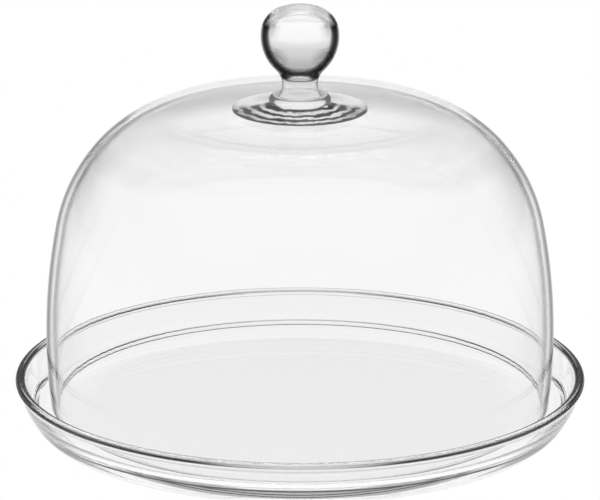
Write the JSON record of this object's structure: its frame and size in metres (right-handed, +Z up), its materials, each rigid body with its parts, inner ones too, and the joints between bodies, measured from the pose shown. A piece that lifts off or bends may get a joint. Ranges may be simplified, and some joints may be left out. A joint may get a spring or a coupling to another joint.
{
  "type": "cake dome",
  "caption": "Clear glass cake dome: a bell-shaped blown cover with a solid ball knob that lifts off a flat serving plate with a rolled rim.",
  "frame": {"origin": "centre of the plate's underside, on the table", "axes": "+Z up along the common axis of plate, dome and knob; -Y towards the viewer of the picture, +X to the right"},
  "size_m": [0.3196, 0.3196, 0.2403],
  "materials": {
    "plate_glass": "fire-polished clear pressed glass",
    "dome_glass": "clear blown glass with a ground lower edge",
    "knob_glass": "fire-polished solid clear glass"
  },
  "bodies": {
    "plate": {"serving_plate": "plate_glass"},
    "dome": {"dome_shell": "dome_glass", "knob_foot": "knob_glass", "knob": "knob_glass"}
  },
  "joints": [
    {"name": "dome_lift", "type": "slide", "parent": "plate", "child": "dome", "axis": [0, 0, 1], "range_m": [0, 0.22]}
  ]
}
